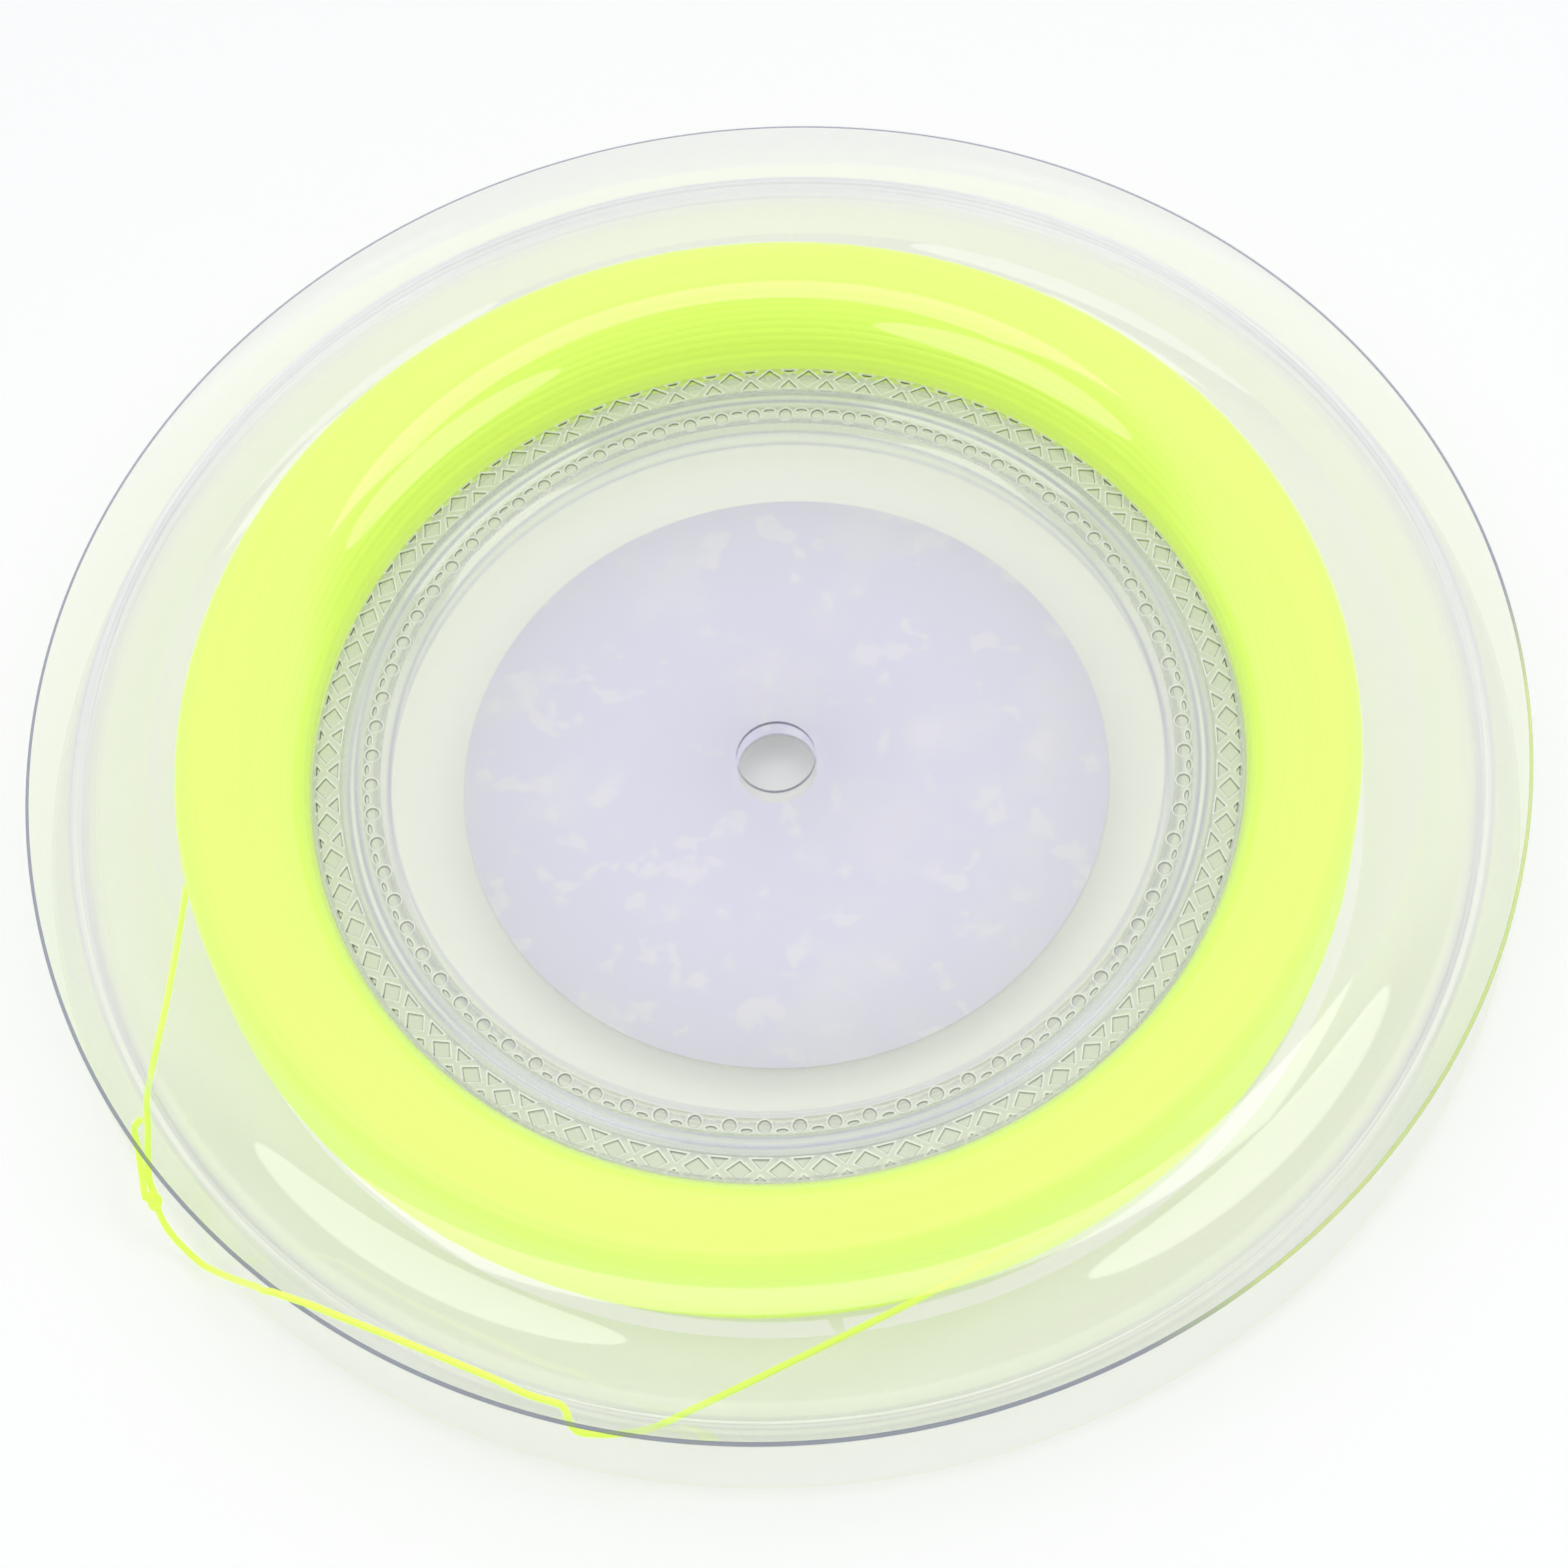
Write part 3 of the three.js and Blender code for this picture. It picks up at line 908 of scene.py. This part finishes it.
windings = {
    "pitch": 1.22,  # mm from one turn of string to the next over the surface
    "turnRadius": 3.0,  # mm; the turns are pressed nearly flat against each other
    "ringPoints": 96,
    "sides": 16,
    "wander": 0.06,  # mm that a turn strays from its place
    "wanderSize": 30.0,  # mm from one stray to the next
    "wanderDetail": 2.0,
    "radius": 111.2,
    "shift": (-2.1, 2.35),  # mm that the outer turns lie off the middle
    "shiftFrom": 102.0,
    "corner": 2.5,  # mm that the outer edges are rounded
    "cornerSteps": 4,
    "clearance": 0.3,  # mm free inside the sheets
    "lastTurn": (290.8, 325.0),  # degrees from where the free end lies on the windings till it is in
    "lastTurnSink": 1.6,  # mm that it is pressed in at the end
    "lastTurnPoints": 12,
    "coreInset": 1.15,  # of the turns' radius, for the plain body that closes the gaps between them
    "coreSegments": 192,
}


def heightAt(line, radius):
    for a, b in zip(line, line[1:]):
        if a.x <= radius < b.x:
            return a.y + (b.y - a.y) * (radius - a.x) / (b.x - a.x)
    return line[-1].y


def packOutline(values, inset):
    wall = offsetLine(channelMiddle(), -(reel["sheet"] / 2 + values["clearance"] + inset))
    start = values["radius"] - inset - values["corner"]
    top = heightAt(wall, start)
    half = [p for p in wall[1:] if p.x < start]
    half += quarterArc((start, top), (values["radius"] - inset, top - values["corner"]),
                       values["cornerSteps"], False)
    lower = [Vector((p.x, -p.y)) for p in half]
    return [Vector((wall[0].x, 0))] + half + lower[::-1]


def windingsTree(material, wanderDetail):
    tree = newGroup("windings", {
        "Float": ("Pitch", "Turn Radius", "Wander", "Wander Size", "Shift From", "Shift To"),
        "Vector": ("Shift",), "Int": ("Ring Points", "Sides"),
    })
    given = addNode(tree, "NodeGroupInput").outputs
    points = addNode(tree, "GeometryNodeCurveToPoints", {
        "Curve": given["Geometry"], "Length": given["Pitch"],
    }, mode="LENGTH")
    where = addNode(tree, "GeometryNodeInputPosition").outputs[0]
    parts = addNode(tree, "ShaderNodeSeparateXYZ", {0: where})
    kept = addNode(tree, "GeometryNodeStoreNamedAttribute", {
        "Geometry": points.outputs["Points"], "Name": "turnRadius", "Value": parts.outputs[0],
    }, data_type="FLOAT", domain="POINT")
    centre = addNode(tree, "ShaderNodeCombineXYZ", {2: parts.outputs[2]})
    centred = addNode(tree, "GeometryNodeSetPosition", {
        "Geometry": kept.outputs[0], "Position": centre.outputs[0],
    })
    size = addNode(tree, "GeometryNodeInputNamedAttribute", {"Name": "turnRadius"},
                   data_type="FLOAT").outputs[0]
    scale = addNode(tree, "ShaderNodeCombineXYZ", {0: size, 1: size, 2: 1.0})
    circle = addNode(tree, "GeometryNodeCurvePrimitiveCircle", {
        "Resolution": given["Ring Points"], "Radius": 1.0,
    }, mode="RADIUS")
    placed = addNode(tree, "GeometryNodeInstanceOnPoints", {
        "Points": centred.outputs[0], "Instance": circle.outputs[0], "Scale": scale.outputs[0],
    })
    turns = addNode(tree, "GeometryNodeRealizeInstances", {0: placed.outputs[0]})
    noise = addNode(tree, "ShaderNodeTexNoise", {
        "Vector": where, "Scale": calculate(tree, "DIVIDE", 1.0, given["Wander Size"]),
        "Detail": wanderDetail,
    }, noise_dimensions="3D")
    stray = vectorMath(tree, "SUBTRACT", noise.outputs["Color"], (0.5, 0.5, 0.5))
    reach = ramp(tree, size, given["Shift From"], given["Shift To"], "SMOOTHSTEP")
    move = vectorMath(tree, "ADD", scaled(tree, stray, given["Wander"]),
                      scaled(tree, given["Shift"], reach))
    strayed = addNode(tree, "GeometryNodeSetPosition", {
        "Geometry": turns.outputs[0], "Offset": move,
    })
    section = addNode(tree, "GeometryNodeCurvePrimitiveCircle", {
        "Resolution": given["Sides"], "Radius": given["Turn Radius"],
    }, mode="RADIUS")
    tubes = addNode(tree, "GeometryNodeCurveToMesh", {
        "Curve": strayed.outputs[0], "Profile Curve": section.outputs[0],
    })
    finished = addNode(tree, "GeometryNodeSetMaterial", {
        "Geometry": tubes.outputs[0], "Material": material,
    })
    addNode(tree, "NodeGroupOutput", {0: finished.outputs[0]})
    return tree


def makeWindings(values):
    line = packOutline(values, values["turnRadius"])
    data = bpy.data.curves.new("windingsOutline", "CURVE")
    data.dimensions = "3D"
    spline = data.splines.new("POLY")
    spline.points.add(len(line) - 1)
    spline.use_cyclic_u = True
    for point, place in zip(spline.points, line):
        point.co = (place.x * mm, 0, (weldPlane + place.y) * mm, 1)
    carrier = bpy.data.objects.new("windingsOutline", data)
    scene.collection.objects.link(carrier)
    modifier = carrier.modifiers.new("windings", "NODES")
    modifier.node_group = windingsTree(monofilament, values["wanderDetail"])
    setInputs(modifier, {
        "Pitch": values["pitch"] * mm,
        "Turn Radius": values["turnRadius"] * mm,
        "Wander": values["wander"] * 2 * mm,
        "Wander Size": values["wanderSize"] * mm,
        "Shift": (values["shift"][0] * mm, values["shift"][1] * mm, 0),
        "Shift From": values["shiftFrom"] * mm,
        "Shift To": values["radius"] * mm,
        "Ring Points": values["ringPoints"],
        "Sides": values["sides"],
    })
    return settled(carrier, "wound_string")


def makeLastTurn(values):
    # the outermost turn, from the end of the laced run until it is pressed in among the others
    centre = Vector((*values["shift"], weldPlane))
    start, end = values["lastTurn"]
    route = [freeRoute[-1]]
    for i in range(values["lastTurnPoints"] + 1):
        share = i / values["lastTurnPoints"]
        angle = math.radians(start + (end - start) * share)
        radius = values["radius"] + stringDiameter / 2 - values["lastTurnSink"] * share
        route.append(centre + Vector((math.cos(angle), math.sin(angle), 0)) * radius)
    return stringCurve("last_turn", smoothRoute(route, lacing["step"]))


def makeWindingsCore(values):
    inside = dict(values, radius=values["radius"] - Vector(values["shift"]).length)
    outline = packOutline(inside, values["turnRadius"] * values["coreInset"])
    points, faces = revolve([(p.x * mm, (weldPlane + p.y) * mm) for p in outline],
                            values["coreSegments"])
    return meshFrom("windings_core", points, faces, monofilament)


woundString = makeWindings(windings)
lastTurn = makeLastTurn(windings)
windingsCore = makeWindingsCore(windings)
for piece in (woundString, lastTurn, windingsCore):
    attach(piece, "root")
    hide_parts("string_pack")
print(f"windings made: {len(woundString.data.polygons)} faces")

studio = {
    "floorSize": 5.0,  # m
    "floorColour": "#fcfdff",
    "floorOwnWhite": 0.36,  # share of the floor that the camera sees as plain white
    "lightBehind": 0.9, "lightInFront": 0.5,  # what the room sheds on the reel
    "mirrorBehind": 1.0, "mirrorInFront": 0.12,  # what gloss shows of the room
    "turn": (-0.1, 0.25),  # how far back a direction points where the one becomes the other
    "boxes": [  # soft boxes that face straight down: place, size in m and watts
        {"name": "softBoxLeft", "shape": "ELLIPSE", "place": (-0.96, -0.45, 1.2),
         "size": (1.15, 0.9), "watts": 4.4},
        {"name": "softBoxRight", "shape": "ELLIPSE", "place": (1.1, -0.45, 1.2),
         "size": (1.3, 0.95), "watts": 5.2},
        {"name": "lightStrip", "shape": "RECTANGLE", "place": (0.1, 0.08, 1.2),
         "size": (1.1, 0.32), "watts": 1.9},
    ],
    "sheetsCrossed": 32,  # faces of sheet that a line of sight may pass, twice what it meets here
}


def makeFloor(values):
    half = values["floorSize"] / 2
    material, tree = newMaterial("paperFloor")
    path = addNode(tree, "ShaderNodeLightPath").outputs
    seen = calculate(tree, "MAXIMUM", path["Is Camera Ray"], path["Is Glossy Ray"])
    seen = calculate(tree, "MAXIMUM", seen, path["Is Transmission Ray"])
    share = calculate(tree, "MULTIPLY", seen, values["floorOwnWhite"])
    paper = addNode(tree, "ShaderNodeBsdfDiffuse", {"Color": linear(values["floorColour"])})
    white = addNode(tree, "ShaderNodeEmission", {"Color": plainWhite, "Strength": 1.0})
    surface = mixSurface(tree, share, paper.outputs[0], white.outputs[0])
    addNode(tree, "ShaderNodeOutputMaterial", {"Surface": surface})
    floor = meshFrom("floor", [(-half, -half, 0), (half, -half, 0), (half, half, 0),
                               (-half, half, 0)], [(0, 1, 2, 3)], material)


def makeRoom(values):
    # the room is bright behind the reel and dim in front of it
    world = bpy.data.worlds.new("studio")
    world.use_nodes = True
    world.node_tree.nodes.clear()
    tree = world.node_tree
    path = addNode(tree, "ShaderNodeLightPath").outputs
    direction = addNode(tree, "ShaderNodeTexCoord").outputs["Generated"]
    direction = addNode(tree, "ShaderNodeSeparateXYZ", {0: direction})
    behind = ramp(tree, direction.outputs[1], *values["turn"], "SMOOTHSTEP")
    shed = mixNumber(tree, behind, values["lightInFront"], values["lightBehind"])
    mirrored = mixNumber(tree, behind, values["mirrorInFront"], values["mirrorBehind"])
    strength = mixNumber(tree, path["Is Glossy Ray"], shed, mirrored)
    light = addNode(tree, "ShaderNodeBackground", {"Color": plainWhite, "Strength": strength})
    view = addNode(tree, "ShaderNodeBackground", {"Color": plainWhite, "Strength": 1.0})
    surface = mixSurface(tree, path["Is Camera Ray"], light.outputs[0], view.outputs[0])
    addNode(tree, "ShaderNodeOutputWorld", {"Surface": surface})
    scene.world = world


def makeSoftBoxes(boxes):
    for box in boxes:
        data = bpy.data.lights.new(box["name"], "AREA")
        data.shape = box["shape"]
        data.size, data.size_y = box["size"]
        data.energy = box["watts"]
        obj = bpy.data.objects.new(box["name"], data)
        obj.location = box["place"]
        scene.collection.objects.link(obj)


makeFloor(studio)
makeRoom(studio)
makeSoftBoxes(studio["boxes"])
scene.view_settings.view_transform = "Standard"
scene.cycles.transparent_max_bounces = studio["sheetsCrossed"]
print("floor and light made")
